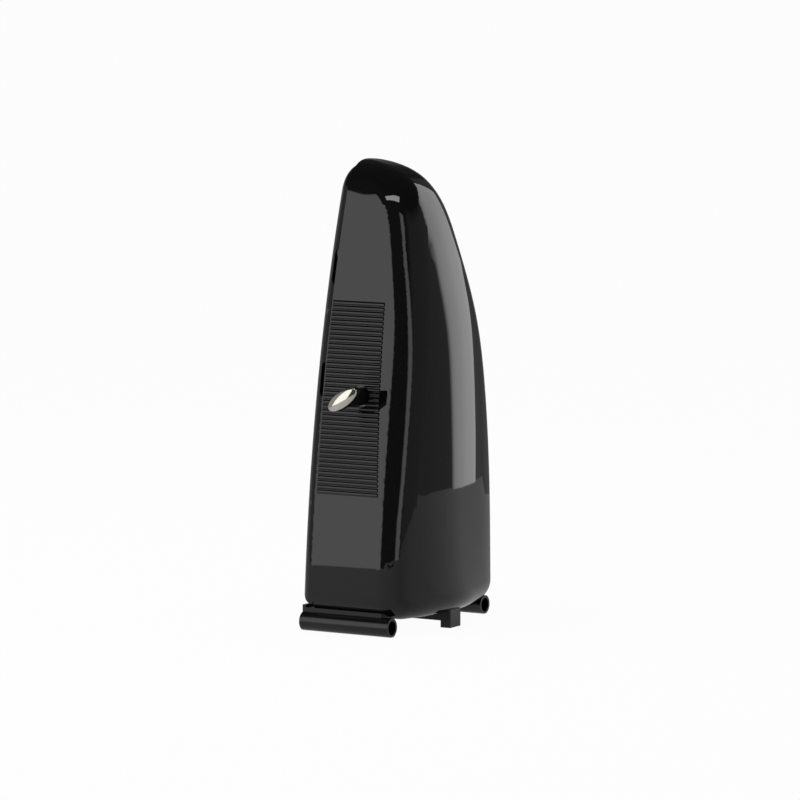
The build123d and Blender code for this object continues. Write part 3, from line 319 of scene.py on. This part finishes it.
mat = between([
    (-180, 0.4), (-90, 0.29), (-77, 0.36), (-52, 0.67), (-33, 0.53), (-15, 0.43), (10, 0.43), (36, 0.33),
    (60, 0.42), (119, 0.53), (180, 0.4),
])
card("tent_mat", [[(a, 0.0, 0.0002, g) for a, g in mat], [(a, 0.47, 0.0002, g) for a, g in mat]])

# The side card leans away from the camera at its upper rear corner and dims towards the front.
side = between([
    (101, 111, 0.306, 0.06), (105, 115, 0.305, 1.42), (123, 123, 0.283, 1.42), (131, 131, 0.281, 1.42),
    (134, 134, 0.28, 0.3), (165, 165, 0.28, 0.3),
])
card("side_card", [
    [(low, 0.338, 0.0, g) for low, high, z, g in side],
    [(low, 0.338, 0.2, g) for low, high, z, g in side],
    [(high, 0.338, z, g) for low, high, z, g in side],
])

softbox = [(0.0, -43, -70.5), (0.13, -44, -76), (0.22, -44, -77), (0.32, -34, -79), (0.47, -32, -80)]
levels = [(0.0, 0.2), (0.12, 1.9), (0.22, 2.15), (0.6, 2.15), (0.8, 1.9), (1.0, 1.75)]
card("rear_softbox", [
    [(start + share * (end - start), 0.45, z, g) for share, g in levels] for z, start, end in softbox
])

bow = [
    (0.0, 50), (0.03, 47), (0.055, 42.5), (0.1, 40.5), (0.15, 43), (0.21, 48), (0.27, 52.5), (0.32, 59),
    (0.41, 62),
]
across = [(-8, 0.1), (-4, 1.25), (4, 1.25), (8, 0.2)]
card("camera_strip", [[(a + turn, 0.34, z, g) for turn, g in across] for z, a in bow])
card("hair_light", [
    [(105, 0.335, 0.37, 4.9), (62, 0.335, 0.51, 4.9)],
    [(107, 0.335, 0.393, 4.9), (52, 0.335, 0.62, 4.9)],
])

FLOOR_HALF = 20.0
floor_mesh = bpy.data.meshes.new("table")
floor_corners = [(FLOOR_HALF * x, FLOOR_HALF * y, 0) for x, y in ((-1, -1), (1, -1), (1, 1), (-1, 1))]
floor_mesh.from_pydata(floor_corners, [], [(0, 1, 2, 3)])
paper, tree, out = new_material("pale_paper")
path = add(tree, "ShaderNodeLightPath")
plain = add(tree, "ShaderNodeBsdfDiffuse", Color=linear("#f4f4f4"))
white = add(tree, "ShaderNodeEmission", Strength=1.0)
rays = [(0, path, "Is Camera Ray"), (1, path, "Is Glossy Ray")]
seen = add(tree, "ShaderNodeMath", rays, operation="MAXIMUM")
seen = add(tree, "ShaderNodeMath", [(0, seen, 0), (1, path, "Is Transmission Ray")], operation="MAXIMUM")
share = add(tree, "ShaderNodeMapRange", [("Value", seen, 0)], To_Min=0.0, To_Max=0.96)
blend = add(tree, "ShaderNodeMixShader", [(0, share, 0), (1, plain, 0), (2, white, 0)])
tree.links.new(blend.outputs[0], out.inputs["Surface"])
floor_mesh.materials.append(paper)
table = bpy.data.objects.new("table", floor_mesh)
bpy.context.scene.collection.objects.link(table)

world = bpy.data.worlds.new("studio_air")
world.use_nodes = True
tree = world.node_tree
tree.nodes.clear()
out = add(tree, "ShaderNodeOutputWorld")
path = add(tree, "ShaderNodeLightPath")
rays = [(0, path, "Is Camera Ray"), (1, path, "Is Glossy Ray")]
seen = add(tree, "ShaderNodeMath", rays, operation="MAXIMUM")
seen = add(tree, "ShaderNodeMath", [(0, seen, 0), (1, path, "Is Transmission Ray")], operation="MAXIMUM")
level = add(tree, "ShaderNodeMapRange", [("Value", seen, 0)], To_Min=0.55, To_Max=1.0)
air = add(tree, "ShaderNodeBackground", [("Strength", level, "Result")])
tree.links.new(air.outputs[0], out.inputs["Surface"])
bpy.context.scene.world = world

lamp = bpy.data.lights.new("overhead_softbox", "AREA")
lamp.shape = "RECTANGLE"
lamp.size, lamp.size_y = 0.5, 0.5
lamp.energy = 2.2
overhead = bpy.data.objects.new("overhead_softbox", lamp)
overhead.location = (0.25, -0.2, 0.75)
overhead.rotation_euler = (Vector((0, 0, 0.08)) - overhead.location).to_track_quat("-Z", "Y").to_euler()
overhead.visible_glossy = False
bpy.context.scene.collection.objects.link(overhead)

# Camera: the photograph's distance and angle, with the object a little left of the middle.
AZIMUTH, ELEVATION, DISTANCE = math.radians(120.6), math.radians(6.1), 1.8
PIXELS_PER_METRE, FRAME_PIXELS = 2906.0, 800
AIM_PIXEL = (395.4, 391.4)
aim = Vector((0, 0, 0.08))
level_back = Vector((math.sin(AZIMUTH), -math.cos(AZIMUTH), 0))
back = level_back * math.cos(ELEVATION) + Vector((0, 0, math.sin(ELEVATION)))
camera_data = bpy.data.cameras.new("camera")
camera_data.sensor_width = 36.0
camera_data.lens = camera_data.sensor_width * PIXELS_PER_METRE * DISTANCE / FRAME_PIXELS
camera_data.shift_x = (FRAME_PIXELS / 2 - AIM_PIXEL[0]) / FRAME_PIXELS
camera_data.shift_y = (AIM_PIXEL[1] - FRAME_PIXELS / 2) / FRAME_PIXELS
camera = bpy.data.objects.new("camera", camera_data)
camera.location = aim + back * DISTANCE
camera.rotation_euler = (-back).to_track_quat("-Z", "Y").to_euler()
bpy.context.scene.collection.objects.link(camera)
bpy.context.scene.camera = camera
bpy.context.scene.view_settings.view_transform = "Standard"
